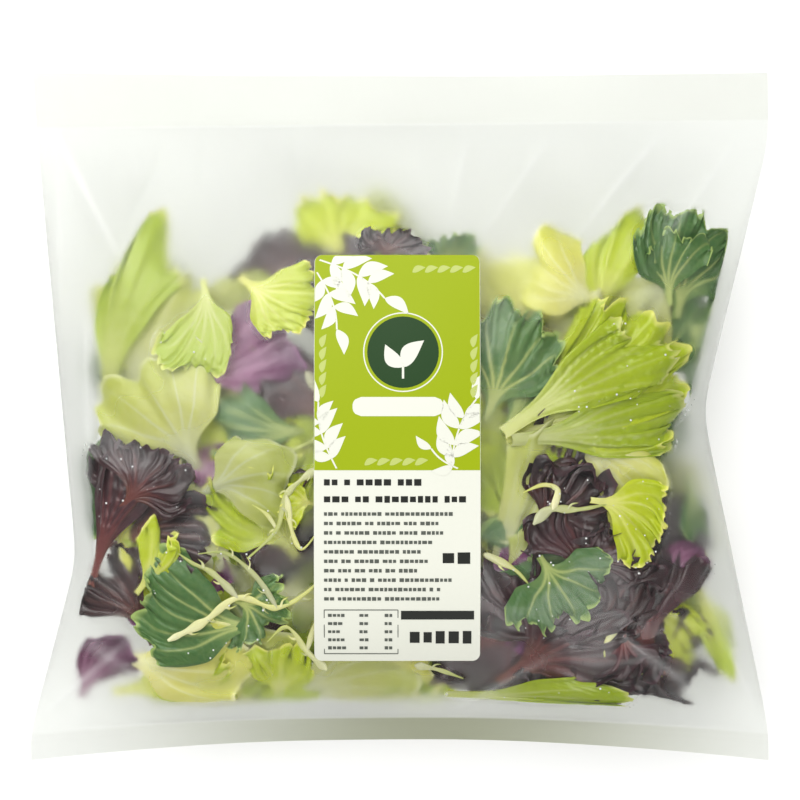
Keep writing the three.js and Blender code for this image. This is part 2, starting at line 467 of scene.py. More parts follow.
def leaf_material(name, look):
    """A leaf: colour from base to margin, a painted highlight along its rim, paler ribs, a net of veins, a
    wet gloss and light through it
    """
    made = Material(name)
    along, chance, rib = list(made.values("leaf"))[:3]
    place = made.add("UVMap", uv_map="sheet").outputs[0]
    mottle = made.noise(place, 1.1, 5.0, Roughness=0.6)
    shifted = made.math("ADD", along, made.math("MULTIPLY_ADD", mottle, 0.5, -0.25))
    blade = made.ramp(shifted, (0.0, look.base), (1.0, look.margin), (0.5, look.middle))
    cells = {"Vector": place, "Scale": look.cells, "Randomness": 0.9}
    net = made.add("TexVoronoi", cells, feature="DISTANCE_TO_EDGE").outputs["Distance"]
    vein = made.map_range(net, (0.0, 0.16), (look.net, 0.0))
    ribbed = made.math("MINIMUM", made.math("ADD", vein, rib), 1.0)
    coloured = made.blend(ribbed, blade, linear(look.rib))
    # Painted rim highlight: the last few hundredths towards the margin turn to the edge colour
    edge = made.map_range(along, (0.95, 0.99), (0.0, 0.85))
    with_painted_rim = made.blend(edge, coloured, linear(look.edge))
    value = made.math("MULTIPLY_ADD", chance, 0.36, 0.82)
    hue = made.math("MULTIPLY_ADD", chance, -0.02, 0.507)
    varied = made.recoloured(with_painted_rim, Value=value, Hue=hue, Saturation=1.05)
    bump = made.bump(made.math("MULTIPLY_ADD", net, 0.5, mottle), 0.55, 0.0006)
    face = made.surface({
        "Base Color": varied,
        "Roughness": made.math("MULTIPLY_ADD", mottle, 0.2, look.rough - 0.1),
        "Specular IOR Level": 0.45,
        "Coat Weight": look.wet,
        "Coat Roughness": 0.12,
        "Normal": bump,
    })
    glow = made.recoloured(varied, Saturation=1.12, Value=1.25, Hue=0.495)
    through = made.add("BsdfTranslucent", {"Color": glow, "Normal": bump})
    both = made.add("MixShader", {0: look.through, 1: face, 2: through.outputs[0]})
    return made.finish(both.outputs[0])


def glint_drop_material():
    made = Material("moisture")
    # Painted glints: the drops are mostly white instead of clear water
    white = {"Base Color": (1, 1, 1, 1), "Roughness": 0.2, "Transmission Weight": 0.2, "IOR": 1.33}
    return made.finish(made.surface(white))


def paper_material(name, colour, rough, fibre=0.0):
    """Printed label paper, faintly uneven"""
    made = Material(name)
    where = made.add("TexCoord").outputs["Object"]
    grain = made.noise(where, 700.0, 3.0)
    cloud = made.noise(where, 30.0, 2.0)
    dark = [c * (0.94 - fibre) for c in linear(colour)[:3]] + [1.0]
    uneven = made.math("MULTIPLY_ADD", grain, 0.35, made.math("MULTIPLY", cloud, 0.5))
    face = made.surface({
        "Base Color": made.blend(uneven, linear(colour), dark),
        "Roughness": made.math("MULTIPLY_ADD", cloud, 0.15, rough - 0.07),
        "Specular IOR Level": 0.2,
        "Normal": made.bump(grain, 0.15, 0.0001),
    })
    return made.finish(face)


# Leaves

Wave = namedtuple("Wave", "spacing lean onset")  # mm between crests, steepest lean, how late it grows
# A tooth size below 0 gives notches between round lobes. stalk is the share of the length before the blade.
Kind = namedtuple("Kind", "waves lobes curl blister tooth_size tooth_spacing stalk thick rib slot look")
KINDS = {
    "lettuce_green": Kind(
        [Wave(38, 0.35, 0.6), Wave(14, 1.1, 0.8), Wave(7, 1.25, 3.0), Wave(3.4, 1.0, 8.0)],
        0.02, 0.75, 0.5, 2.3, 4.6, 0.1, 0.4, 0.9, "leaf_green",
        Look(0xE8EAA4, 0xC4D436, 0xC0D428, 0xF2F39C, 0xE6EA9A, 2.6, 0.1, 0.34, 0.5, 0.4),
    ),
    "lettuce_pale": Kind(
        [Wave(45, 0.45, 0.6), Wave(17, 0.4, 2.0)],
        0.03, 0.7, 0.15, -0.5, 9.0, 0.05, 0.8, 1.6, "leaf_pale",
        Look(0xE6E7BE, 0xDCDE88, 0xD2D968, 0xF2F3C6, 0xECEECC, 1.4, 0.08, 0.42, 0.25, 0.36),
    ),
    "lettuce_red": Kind(
        [Wave(30, 0.4, 0.6), Wave(13, 1.2, 1.0), Wave(6.5, 1.4, 2.2), Wave(3.4, 1.1, 6.0)],
        0.03, 0.9, 0.6, 1.8, 4.4, 0.2, 0.4, 0.8, "leaf_red",
        Look(0x82503A, 0x381218, 0x12060A, 0x3A121E, 0x703C38, 3.0, 0.06, 0.36, 0.35, 0.12),
    ),
    "kale": Kind(
        [Wave(34, 0.4, 0.7), Wave(12, 0.8, 2.0), Wave(6, 1.4, 4.5), Wave(3.2, 1.1, 8.0)],
        0.045, 0.8, 0.5, -2.6, 6.0, 0.08, 0.5, 1.2, "leaf_dark",
        Look(0x7C9850, 0x426C34, 0x467234, 0xB4CC78, 0xCCD688, 3.4, 0.06, 0.46, 0.3, 0.22),
    ),
    "cabbage_red": Kind(
        [Wave(30, 0.6, 0.5), Wave(12, 0.5, 1.5)],
        0.02, 0.4, 0.2, -0.5, 8.0, 0.05, 0.9, 1.2, "leaf_red",
        Look(0xB47A9C, 0x6C2654, 0x4A143E, 0x8E5480, 0xC898B4, 1.8, 0.1, 0.35, 0.4, 0.18),
    ),
}
WAVE_PARTS = 3  # sine waves that make up an uneven one
RIBS = (-0.72, -0.38, 0.0, 0.38, 0.72)  # where a leaf's ribs run, across its half width
SLACK = 1.5  # how much longer a ruffled margin is than the fan it is drawn up to
FINEST = 4.0  # fewest points that a crest needs, or its wave is left out
BEND = 0.35  # how far a leaf's tip may turn aside, in radians
UNEVEN_OUTLINE = 0.07  # how much a leaf's length varies across it, as a share of that length
SHORT_SIDES = 0.18  # how much shorter its two sides are
LOBE_SPACING = 17.0  # mm between the lobes of a leaf's outline
BLISTER = 6.0  # mm between the blisters of a blade
RIM_SPACING = 22.0  # mm between the places where a margin curls up
CURL_FROM, CURL_OVER = 0.78, 0.2  # where along a leaf its margin curls
TEETH_FROM, TEETH_OVER = 0.92, 0.08  # where along a leaf its teeth grow


def uneven_wave(rng, along, count):
    """A smooth wave of about that many crests over a length of 1, uneven in size and spacing"""
    total = 0.0
    for _ in range(WAVE_PARTS):
        turns = count * rng.uniform(0.7, 1.35) * along + rng.uniform()
        total = total + rng.uniform(0.6, 1.0) * np.sin(2 * np.pi * turns)
    return total / (0.8 * math.sqrt(WAVE_PARTS))


def running_sum(steps, axis):
    """The integral of steps along an axis, starting from 0"""
    total = np.cumsum(steps, axis=axis)
    return total - np.take(total, [0], axis=axis)


def blade(rng, kind, length, spread, arch, step):
    """A ruffled fan from its base at the origin out along +X, as a grid of points with values and a plan"""
    margin = 2 * spread * length * SLACK
    columns = max(16, int(margin / step))
    rows = max(14, int(length / step / 2.2))
    u = 1 - (1 - np.linspace(0, 1, rows)[:, None]) ** 1.6
    v = np.linspace(-1, 1, columns)[None, :]
    across = v / 2 + 0.5
    lean = 0.0 * v
    for wave in kind.waves:
        waves = uneven_wave(rng, across + rng.uniform(-0.04, 0.04) * u, margin / wave.spacing)
        if wave.spacing > FINEST * step:
            lean = lean + wave.lean * u**wave.onset * waves
    straight = length * (0.05 + 0.95 * u)
    width = spread * smooth_step((u - kind.stalk * 0.6) / (0.45 + kind.stalk)) + 0.035 * length / straight
    run = running_sum(np.maximum(np.cos(lean), -0.5) + 0 * v, 1)
    share = run / run[:, -1:]
    angle = width * (2 * share - 1) + rng.uniform(-BEND, BEND) * u**1.5
    outline = UNEVEN_OUTLINE * uneven_wave(rng, share, 1.4)
    outline = outline + kind.lobes * uneven_wave(rng, share, 2 * spread * length / LOBE_SPACING)
    outline = outline - SHORT_SIDES * np.abs(2 * share - 1) ** 3
    uneven = 0.6 + 0.4 * uneven_wave(rng, across, margin / 20)
    peaks = 0.9 - 1.5 * np.abs(uneven_wave(rng, across, margin / kind.tooth_spacing / 2))
    tooth = uneven * np.maximum(peaks, -1) * kind.tooth_size
    radius = straight * (1 + outline * u)
    lift = running_sum(np.sin(lean), 1) * (2 * width * straight / run[:, -1:])
    lift = lift - lift[:, -1:] * across
    lift = lift - lift.mean(axis=1, keepdims=True)
    curls = rng.choice([-0.4, 0.4]) + uneven_wave(rng, share, 2 * spread * length / RIM_SPACING)
    climb = arch * (0.5 - u) * 1.6 + kind.curl * curls * smooth_step((u - CURL_FROM) / CURL_OVER)
    step_out = np.gradient(radius, axis=0)
    blister = uneven_wave(rng, straight * angle, 1 / BLISTER) * uneven_wave(rng, straight, 1 / BLISTER)
    lift = lift + kind.blister * blister * smooth_step((u - 0.2) / 0.3)
    reach = radius[:1] + running_sum(np.cos(climb) * step_out, 0) - np.sin(climb) * lift
    reach = reach + tooth * smooth_step((u - TEETH_FROM) / TEETH_OVER)
    height = running_sum(np.sin(climb) * step_out, 0) + np.cos(climb) * lift
    points = np.stack([reach * np.cos(angle), reach * np.sin(angle), height], axis=2)
    off = np.min([np.abs(v - r * u**0.4) for r in RIBS], axis=0) * width * radius
    rib = 0.8 * np.exp(-((off / (0.3 + 0.6 * (1 - u))) ** 2)) * (1 - u) ** 0.6
    thick = kind.thick * (1 + kind.rib * np.exp(-((v * width * radius / 2.2) ** 2)) * (1 - u) * 1.5)
    thick = thick * (1 - 0.6 * u**3)
    chance = np.full((rows, columns), rng.uniform())
    values = np.stack([u + 0 * v, chance, rib], axis=2)
    uv = np.stack([(v * width * radius) / 10, radius / 10 + rng.uniform(0, 50)], axis=2)
    return points, thick, values, uv


Leaf = namedtuple(
    "Leaf", "x y heading length spread gap arch relief step sink", defaults=(0.5, 0.7, 1.5, 5.0)
)

# Leaves that show through the front film: where the base lies and where the leaf points, in mm and degrees
# as seen from above, its length, half its spread in degrees, its gap to the film, its arch, how much of its
# own relief it keeps, the distance between its points, and how much deeper its base lies than its tip
SHOWN = {
    "lettuce_green": [
        (39, -10, 21, 84, 29, 2.0, 0.15, 0.6, 0.9, 3.0),
        (39, -9, 35, 78, 13, 0.3, 0.1, 0.5, 0.7, 2.0),
        (42, -10, 5, 74, 14, 0.3, 0.1, 0.5, 0.7, 2.0),
        (83, 33, 92, 53, 20, 4.0),
        (76, -34, -8, 36, 36, 1.2, 0.4, 0.6, 0.9, 1.0),
        (96, -72, -48, 42, 36, 6.0),
        (16, -117, -4, 78, 13, 0.6, 0.2, 0.5, 0.8, 0.5),
        (122, -68, -66, 44, 20, 6.0),
        (-120, -2, 90, 80, 12, 4.5, 0.3, 0.7, 1.0),
        (-70, 22, -80, 56, 34, 7.0),
        (-50, 30, -96, 50, 28, 8.0),
        (-81, 58, -81, 42, 28, 0.3, 0.5, 0.6, 0.55),
        (-67, 58, -38, 36, 36, 0.4, 0.5, 0.6, 0.6),
        (-25, 60, 92, 34, 52, 8.0),
        (-34, -36, 168, 15, 46, 0.6, 0.4, 0.6, 0.6),
        (-41, -60, 122, 48, 46, 4.5),
        (-109, -74, 50, 32, 20, 2.8, 0.3, 0.5, 0.7, 1.0),
        (-122, -116, 10, 58, 26, 4.0),
        (-52, -121, 78, 28, 40, 2.5, 0.5, 0.6, 0.9),
    ],
    "lettuce_pale": [
        (84, 46, 160, 42, 36, 3.5, 1.0, 0.7, 1.2),
        (66, -9, -24, 52, 22, 2.5, 0.6),
        (32, -75, 62, 76, 9, 4.0, 0.3),
        (36, -82, 48, 50, 12, 5.0, 0.3),
        (-28, -122, 28, 50, 26, 6.0),
        (-54, -117, 17, 66, 26, 3.0),
        (-110, 4, 84, 60, 30, 8.0),
        (-81, -24, 120, 58, 42, 1.5, 1.0, 0.6, 1.0),
        (-82, -32, 27, 42, 42, 2.2, 1.0, 0.6, 1.0, 3.0),
        (-107, -121, 9, 68, 24, 6.0),
        (-118, -98, -16, 58, 30, 2.4, 0.5, 0.7, 1.5, 3.0),
    ],
    "lettuce_red": [
        (65, 10, 62, 30, 50, 14.0),
        (53, -50, 58, 36, 48, 2.8, 0.4, 0.7, 0.7, 2.0),
        (69, -72, 66, 38, 62, 2.0, 0.4, 0.6, 0.7, 2.0),
        (44, -106, 56, 50, 48, 3.5, 0.4, 0.6, 0.95),
        (84, -110, 104, 50, 48, 3.0, 0.4, 0.6, 0.95),
        (62, -92, 4, 50, 46, 4.0, 0.4, 0.6, 0.95),
        (50, -82, -28, 30, 58, 4.5, 0.5, 0.7, 1.0),
        (92, -84, -96, 28, 60, 1.6, 0.5, 0.7, 0.8, 2.0),
        (60, -92, -72, 36, 52, 5.0, 0.4, 0.7, 1.1),
        (96, -92, -40, 34, 52, 5.0, 0.4, 0.7, 1.1),
        (34, -98, -20, 40, 44, 4.5, 0.4, 0.7, 1.4),
        (38, -112, 36, 62, 46, 2.6, 0.4, 0.5, 1.8, 3.0),
        (110, -110, 124, 60, 44, 3.4, 0.4, 0.6, 1.8, 3.0),
        (74, -116, 84, 58, 46, 3.6, 0.4, 0.6, 2.0, 3.0),
        (44, -30, 12, 42, 40, 4.0, 0.4, 0.7, 1.6),
        (-45, 42, 95, 36, 44, 10.0),
        (-6, 61, 90, 18, 66, 2.5, 0.4, 0.7, 0.8),
        (-130, -73, 71, 62, 13, 0.8, 0.3, 0.6, 0.7, 1.0),
        (-117, -40, 42, 34, 56, 0.4, 0.4, 0.8, 0.65, 1.0),
        (-122, -56, 30, 48, 28, 4.0, 0.4, 0.7, 1.0),
        (-112, -34, 120, 24, 50, 5.0, 0.4, 0.8, 0.8),
        (-101, -96, 112, 44, 36, 2.5, 0.5, 0.7, 0.9),
    ],
    "kale": [
        (114, 38, 82, 47, 50, 1.8, 0.2, 0.6, 0.75),
        (112, 44, 100, 33, 30, 0.3, 0.2, 0.6, 0.6),
        (100, 8, 62, 54, 36, 8.0),
        (113, 40, -32, 38, 52, 5.0, 0.3),
        (34, -4, 70, 50, 40, 2.2, 0.5, 0.7, 1.0, 3.0),
        (56, -56, -58, 32, 62, 0.3, 0.4, 0.4, 0.55, 0.3),
        (119, -24, -78, 30, 20, 6.0),
        (20, 60, 82, 16, 60, 6.0),
        (-53, -85, 184, 56, 30, 1.4, 0.4, 0.5, 0.6, 0.6),
        (-68, -75, -18, 22, 62, 1.2, 0.5, 0.6, 0.6, 0.3),
    ],
    "cabbage_red": [
        (103, -64, 25, 26, 30, 4.0),
        (-94, -26, 20, 32, 30, 8.0),
        (-133, -119, 74, 34, 26, 3.0),
    ],
}

# Leaves that fill the rest of the bag, drawn at random
FILLERS = 120
FILLER_KINDS = ["lettuce_pale", "lettuce_green", "lettuce_red", "kale", "cabbage_red"]
FILLER_SHARES = [0.3, 0.34, 0.18, 0.13, 0.05]
FILLER_STEP = 3.4
FILLED = {"left": -124, "right": 122, "foot": -118, "head": 66}  # where fillers and moisture lie
ROOM_SIDE = 0.95  # how far out leaves reach, as a share of the bag's half width
ROOM_ENDS = (0.03, 0.93)  # the same from the foot seam to the header seam
FRONT_CLEAR = 0.4  # room between a leaf's middle sheet and each film
BACK_CLEAR = 0.35
FILLER_CEILING = 7.5  # no filler comes closer to the front film
ROLL = (0.0, 3.0)  # how much deeper one side of a shown leaf lies than the other


def turned(points, degrees):
    angle = math.radians(degrees)
    x = points[..., 0] * math.cos(angle) - points[..., 1] * math.sin(angle)
    y = points[..., 0] * math.sin(angle) + points[..., 1] * math.cos(angle)
    return x, y


def soft_clip(a, low, high, soft):
    """a held between low and high, bending into each limit over a distance soft"""
    a = low + soft_positive(a - low, soft)
    return high - soft_positive(high - a, soft)


def kept_inside(x, y):
    """Points of the plan moved in to where leaves have room"""
    s, t = bag_coordinates(x, y)
    s = soft_clip(s, -ROOM_SIDE, ROOM_SIDE, 0.02)
    t = soft_clip(t, ROOM_ENDS[0], ROOM_ENDS[1], 0.015)
    return plan(s, t)


CAMERA_HEIGHT = 1500.0
VIEW_Z = (HEADER_HEIGHT + FOOT_HEIGHT) / 2
VIEW_Y = 6.5
VIEW_WIDTH = 325.2
SEEN_Z = FOOT_HEIGHT + FRONT_RISE * 0.8  # about where the leaves that show lie


def from_view(x, y):
    """The true place in the plan of a point near the front film that is seen at x and y"""
    share = 1 - (SEEN_Z - VIEW_Z) / CAMERA_HEIGHT
    return x * share, VIEW_Y + (y - VIEW_Y) * share


def placed(points, x, y, heading, ceiling, height_over):
    """Leaf points moved to the plan, with heights from the room between the films, down from a ceiling"""
    turned_x, turned_y = turned(points, heading)
    x, y = kept_inside(x + turned_x, y + turned_y)
    front = front_map.at(x, y) - FILM_THICK - FRONT_CLEAR
    back = back_map.at(x, y) + FILM_THICK + BACK_CLEAR
    middle = (front + back) / 2
    z = height_over(points[..., 2], front, back)
    z = soft_clip(z, np.minimum(back, middle), np.maximum(front - ceiling, middle), 0.2)
    return np.stack([x, y, z], axis=2)


def shown_leaf(kind, leaf):
    rng = np.random.default_rng([leaf.x + 200, leaf.y + 200, leaf.heading + 360])
    spread = math.radians(leaf.spread)
    points, thick, values, uv = blade(rng, kind, leaf.length, spread, leaf.arch, leaf.step)
    top = np.percentile(points[..., 2], 90)
    side = np.linspace(0, rng.choice([-1, 1]) * rng.uniform(*ROLL), points.shape[1])
    sunk = leaf.sink * (1 - values[..., 0]) + side - side.min()

    def under_front(z, front, back):
        return front - leaf.gap - sunk - leaf.relief * (top - z)

    points = placed(points, *from_view(leaf.x, leaf.y), leaf.heading, leaf.gap * 0.6, under_front)
    return thick_sheet(points, thick, values, uv)


def filler_leaf(rng, name, share):
    length = rng.uniform(38, 72)
    spread = math.radians(rng.uniform(22, 45))
    points, thick, values, uv = blade(rng, KINDS[name], length, spread, rng.uniform(0.1, 0.9), FILLER_STEP)
    middle = np.median(points[..., 2])
    heading = rng.uniform(0, 360)
    off_x = length / 2 * math.cos(math.radians(heading))
    off_y = length / 2 * math.sin(math.radians(heading))
    x = rng.uniform(FILLED["left"] + abs(off_x), FILLED["right"] - abs(off_x)) - off_x
    y = rng.uniform(FILLED["foot"] + abs(off_y), FILLED["head"] - abs(off_y)) - off_y
    facing = rng.choice([-1, 1])

    def between(z, front, back):
        return mix(back, front, share) + facing * (z - middle)

    return thick_sheet(placed(points, x, y, heading, FILLER_CEILING, between), thick, values, uv)


def leaf_parts():
    """The leaves' Parts, by kind"""
    parts = {name: [shown_leaf(kind, Leaf(*row)) for row in SHOWN[name]] for name, kind in KINDS.items()}
    rng = np.random.default_rng(21)
    for i in range(FILLERS):
        name = rng.choice(FILLER_KINDS, p=FILLER_SHARES)
        share = 0.06 + 0.86 * ((i * 0.618) % 1) ** 0.8
        parts[name].append(filler_leaf(rng, name, share))
    return parts


# Frisee: thin branching strips with hooked barbs

Strip = namedtuple("Strip", "points width gap")
STRIP_STEP = 0.8  # mm between the points along a strip
FRISEE_LOOK = Look(0xF0F0CC, 0xE4E6A0, 0xC8D25C, 0xE9EBAC, 0xF2F2D6, 2.0, 0.06, 0.4, 0.45, 0.36)
FRISEE_STRIPS = [
    Strip([(-95, -92), (-80, -84), (-66, -74), (-50, -78), (-36, -70), (-26, -58)], 2.0, 0.3),
    Strip([(-66, -74), (-76, -64), (-84, -60), (-90, -56)], 1.8, 0.3),
    Strip([(-50, -78), (-58, -66), (-70, -56), (-82, -56)], 1.6, 0.3),
    Strip([(-20, -18), (-34, -22), (-46, -32), (-50, -46), (-62, -58)], 2.2, 0.3),
    Strip([(-46, -32), (-44, -46), (-40, -54), (-34, -48)], 1.7, 0.3),
    Strip([(-50, -46), (-54, -40), (-60, -36)], 1.3, 0.3),
    Strip([(-30, -104), (-38, -96), (-46, -86), (-54, -92)], 2.0, 0.3),
    Strip([(-38, -96), (-34, -84), (-28, -76)], 1.6, 0.3),
    Strip([(54, -44), (61, -38), (72, -38), (84, -36)], 2.2, 0.3),
    Strip([(62, -38), (64, -30), (58, -28), (50, -31)], 1.6, 0.3),
    Strip([(6, -102), (16, -104), (26, -108)], 1.6, 0.3),
    Strip([(-38, 18), (-34, 8), (-30, -6), (-44, -14)], 3.4, 7.0),
    Strip([(34, -56), (46, -62), (52, -68)], 2.2, 1.5),
    Strip([(92, -84), (84, -94), (86, -106)], 1.6, 4.0),
]
STRIP_WIDTH = 1.75  # what the widths above are multiplied by
BARB_STEP = 9.0


def smooth_path(points, step=STRIP_STEP):
    """Points along a Catmull-Rom curve through those given, step apart"""
    given = np.array([points[0]] + list(points) + [points[-1]], float)
    path = []
    for a, b, c, d in zip(given, given[1:], given[2:], given[3:]):
        for t in np.arange(0, 1, step / max(np.linalg.norm(c - b), step)):
            path.append(0.5 * (2 * b + (c - a) * t + (2 * a - 5 * b + 4 * c - d) * t**2
                               + (3 * b - a - 3 * c + d) * t**3))
    return np.array(path + [given[-1]])


def strip_sheet(rng, path, width, gap, tip=0.15):
    """A tapered strip along a path of the plan, a little under the front film"""
    along = np.linspace(0, 1, len(path))[:, None]
    heading = np.gradient(path, axis=0)
    heading /= np.maximum(np.linalg.norm(heading, axis=1, keepdims=True), 1e-9)
    aside = np.stack([-heading[:, 1], heading[:, 0]], axis=1)
    v = np.linspace(-1, 1, 5)[None, :]
    half = width / 2 * (1 - (1 - tip) * along**1.5) * (1 + 0.2 * uneven_wave(rng, along, len(path) / 14))
    half = half * (0.35 + 0.65 * smooth_step(along / 0.12))
    twist = 0.6 * uneven_wave(rng, along, len(path) / 30)
    offset = half * v * np.cos(twist)
    x = path[:, :1] + aside[:, :1] * offset
    y = path[:, 1:] + aside[:, 1:] * offset
    x, y = kept_inside(x, y)
    sway = 0.25 * (1 + uneven_wave(rng, along, len(path) / 25))
    drop = gap + sway + half * (1 + v * np.sin(twist)) * 0.25
    front = front_map.at(x, y) - FILM_THICK - FRONT_CLEAR
    z = front - soft_positive(drop, 0.2)
    points = np.stack([x, y, z], axis=2)
    chance = np.full(z.shape, rng.uniform())
    values = np.stack([along + 0 * v, chance, 0.25 * (1 - np.abs(v)) + 0 * along], axis=2)
    uv = np.stack([half * v / 10, along * len(path) * 0.08 + 0 * v], axis=2)
    thick = np.maximum(0.9 * width * (1 - v**2) * (1 - 0.7 * along) * 0.35, 0.12)
    return thick_sheet(points, thick, values, uv)


def frisee_parts():
    rng = np.random.default_rng(5)
    parts = []
    for strip in FRISEE_STRIPS:
        at = [from_view(x, y) for x, y in strip.points]
        path = smooth_path(at)
        parts.append(strip_sheet(rng, path, strip.width * STRIP_WIDTH, strip.gap))
        for start in np.arange(BARB_STEP, len(path) * STRIP_STEP - BARB_STEP, BARB_STEP):
            i = int(start / STRIP_STEP + rng.uniform(-2, 2))
            if i >= len(path) - 2:
                break
            along = path[i + 1] - path[i]
            along /= np.linalg.norm(along)
            side = rng.choice([-1, 1]) * np.array([-along[1], along[0]])
            reach = rng.uniform(2.0, 4.2)
            hook = [path[i], path[i] + side * reach * 0.6 + along * reach * 0.4,
                    path[i] + side * reach * 0.8 + along * reach * 1.1]
            parts.append(strip_sheet(rng, smooth_path(hook, 0.6), strip.width * 0.6, strip.gap, 0.05))
    return parts


# Specks of moisture between the film and the leaves that touch it, coloured white as painted glints

DROPS = 600  # tries; a drop is left out where no leaf is near
DROP_NEAR = 2.6  # the widest gap between film and leaf that a drop lies in
DROP_SIZE = (0.3, 0.85)
DROP_GRID = 5  # points across a drop


def drop_parts(gaps):
    rng = np.random.default_rng(12)
    side = np.linspace(-1, 1, DROP_GRID)
    v, u = np.meshgrid(side, side, indexing="ij")
    disc_x = u * np.sqrt(1 - v * v / 2)
    disc_y = v * np.sqrt(1 - u * u / 2)
    dome = np.sqrt(np.maximum(0.02, 1 - disc_x**2 - disc_y**2))
    parts = []
    for _ in range(DROPS):
        x = rng.uniform(FILLED["left"], FILLED["right"])
        y = rng.uniform(FILLED["foot"], FILLED["head"])
        radius = rng.uniform(*DROP_SIZE) / 2
        if gaps.at(np.array(x), np.array(y)) > DROP_NEAR:
            continue
        z = front_map.at(np.array(x), np.array(y)) - FILM_THICK - 0.25
        points = np.stack([x + radius * disc_x, y + radius * disc_y, z + 0 * dome], axis=2)
        parts.append(thick_sheet(points, 0.3 * dome, np.zeros(points.shape), np.stack([u, v], axis=2)))
    return parts


# The films

FILMS = [("film_front", True, 201, 150, 3), ("film_back", False, 131, 100, 4)]  # columns, rows and seed


def seam_rows(count):
    """Values of t from the foot's free edge to the header's, closer together at the seams"""
    even = np.linspace(0, 1, count)
    body = 0.5 * even + 0.25 * (1 - np.cos(np.pi * even))
    foot = np.linspace(-1, 0, 14)[:-1]
    header = np.linspace(1, 2, 22)[1:]
    return np.concatenate([foot, body, header])


def gathers(seed):
    """Short creases that run in from both seams, as a welded film draws together"""
    rng = np.random.default_rng(seed)
    made = []
    for i in range(GATHERS):
        x = -138 + 276 * (i + rng.uniform(0.1, 0.9)) / GATHERS
        reach = rng.uniform(10, 34)
        lean = rng.uniform(-8, 8) - x * 0.03
        if i % 2:
            made.append(Crease((x, 117.5), (x + lean, 117.5 - reach), rng.uniform(-0.9, 0.9), 1.3))
        else:
            foot = line_y(FOOT_SEAM, x / 150)
            made.append(Crease((x, foot + 1), (x + lean, foot + reach), rng.uniform(-1.1, 1.1), 1.3))
    return made


def weld_relief(s, t, x, y):
    """Fine ridges pressed into the welded bands, strongest along the inner line"""
    into = np.where(t > 1, (t - 1) * HEADER_BAND, -t * FOOT_BAND)
    on_band = (t >= 1) | (t <= 0)
    line = sum(np.exp(-((into - ridge.place) / ridge.width) ** 2) * ridge.height for ridge in WELD_RIDGES)
    slack = 0.35 * np.sin(x / 19 + 1.3) * np.sin(into / 5 + x / 31) * (1 - s * s)
    return np.where(on_band, line + slack * smooth_step(into / 3), 0.0)


def film_part(front, gaps, columns, rows, seed):
    """One film as a closed thin sheet, with how hazy and veiled each point is and how much painted shade it
    carries
    """
    s, t = np.meshgrid(np.linspace(-1, 1, columns), seam_rows(rows))
    s = np.sin(s * np.pi / 2) * 0.35 + s * 0.65
    x, y = plan(s, t)
    creases = (FRONT_CREASES if front else BACK_CREASES) + gathers(seed)
    surface = front_height if front else back_height
    z = surface(s, t, x, y, creases) + weld_relief(s, t, x, y) * (1 if front else 0.6)
    gap = gaps.at(x, y)
    outer = np.stack([x, y, z], axis=2)
    if front:
        sag = SAG * step_between(gap, *SAG_GAPS) * away_from_label(x, y)
        outer[..., 2] -= sag * np.minimum(1, 3 * bulge(s, t))
    side = 1 if front else -1
    rim = np.maximum(smooth_step((np.abs(s) - 0.99) / 0.01), smooth_step((np.abs(t - 0.5) - 1.4) / 0.1))
    thick = FILM_THICK * mix(1, THIN_EDGE, rim)
    inner = outer - normals(outer) * thick[..., None] * side
    haze = mix(CLOSE_HAZE, FAR_HAZE, step_between(gap, *HAZE_GAPS))
    veil = FAR_VEIL * np.clip(gap / DEEPEST, 0, 1) ** 0.7
    # Painted highlight: the film is whitened along its creases in place of their reflections
    veil = veil + CREASE_PAINTED_HIGHLIGHT * np.clip(crease_height(creases, x, y, 0.5), 0, 6)
    welded = (t > 1) | (t < 0)
    haze = np.where(welded, WELD_HAZE, haze)
    veil = np.where(welded, WELD_VEIL, veil)
    # Painted shade on the welded bands, darkest in the middle of the foot band, lighter on the header
    foot_painted_shade = FOOT_PAINTED_SHADE * np.exp(-(((s - 0.1) / 0.6) ** 2))
    painted_shade = np.where(t < 0, foot_painted_shade, np.where(t > 1, HEADER_PAINTED_SHADE, 0.0))
    outside = np.stack([haze, veil, painted_shade], axis=2)
    inside = outside * (1, 0, 1)
    uv = np.stack([x / 10, y / 10], axis=2)
    if front:
        return closed_sheet(outer, inner, (outside, inside), uv)
    return closed_sheet(inner, outer, (inside, outside), uv)


def gap_map(parts, front):
    """The gap from a film to the nearest leaf behind it, over the plan"""
    points = np.concatenate([part.points for group in parts for part in group])
    column = np.clip(np.rint(points[:, 0] - MAP_CORNER[0]).astype(int), 0, map_x.shape[1] - 1)
    row = np.clip(np.rint(points[:, 1] - MAP_CORNER[1]).astype(int), 0, map_x.shape[0] - 1)
    film = front_map.heights if front else back_map.heights
    gap = np.full(map_x.shape, DEEPEST)
    here = film[row, column] - points[:, 2] if front else points[:, 2] - film[row, column]
    np.minimum.at(gap, (row, column), here)
    near = np.pad(gap, 1, mode="edge")
    size = map_x.shape
    shifts = [near[r : r + size[0], c : c + size[1]] for r in range(3) for c in range(3)]
    closed = np.min(shifts, axis=0)
    return HeightMap(blurred(np.clip(closed, 0, DEEPEST), 1.3), MAP_CORNER)


# The label

LABEL_LIFT = 0.15
LABEL_THICK = 0.25
PRINT_THICK = 0.05
LABEL_SHARP = 40  # degrees between faces from which their edge is sharp
FIELD_EDGE = -4.7  # where the green field ends, from the label's middle
INKS = {
    "lime": 0x98AA04, "white": 0xE1E2D5, "deep": 0x1E3F18,
    "tint": 0xB9C56E, "grey": 0x555952, "black": 0x222420,
}


